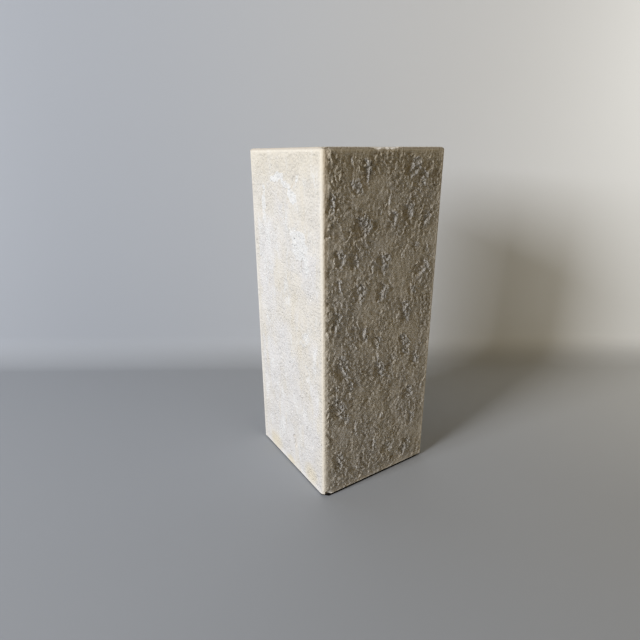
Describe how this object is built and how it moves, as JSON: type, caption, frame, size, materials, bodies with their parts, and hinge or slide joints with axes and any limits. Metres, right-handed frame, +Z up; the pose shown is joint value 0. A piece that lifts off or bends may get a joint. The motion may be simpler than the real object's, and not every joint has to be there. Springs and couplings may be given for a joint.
{
  "type": "plaster display pedestal",
  "caption": "Tall square display pedestal in textured cast plaster: chipped, stippled sides with plain softly rounded edges, a flat top and a slightly recessed foot.",
  "frame": {"origin": "centre of the square footprint, on the ground", "axes": "+Z up along the height; -Y out of the front face, which holds the worn stretch of the top edge; -X out of the left face"},
  "size_m": [0.305, 0.305, 0.762],
  "materials": {
    "plaster": "matte"
  },
  "bodies": {
    "root": {"pedestal": "plaster"}
  },
  "joints": []
}
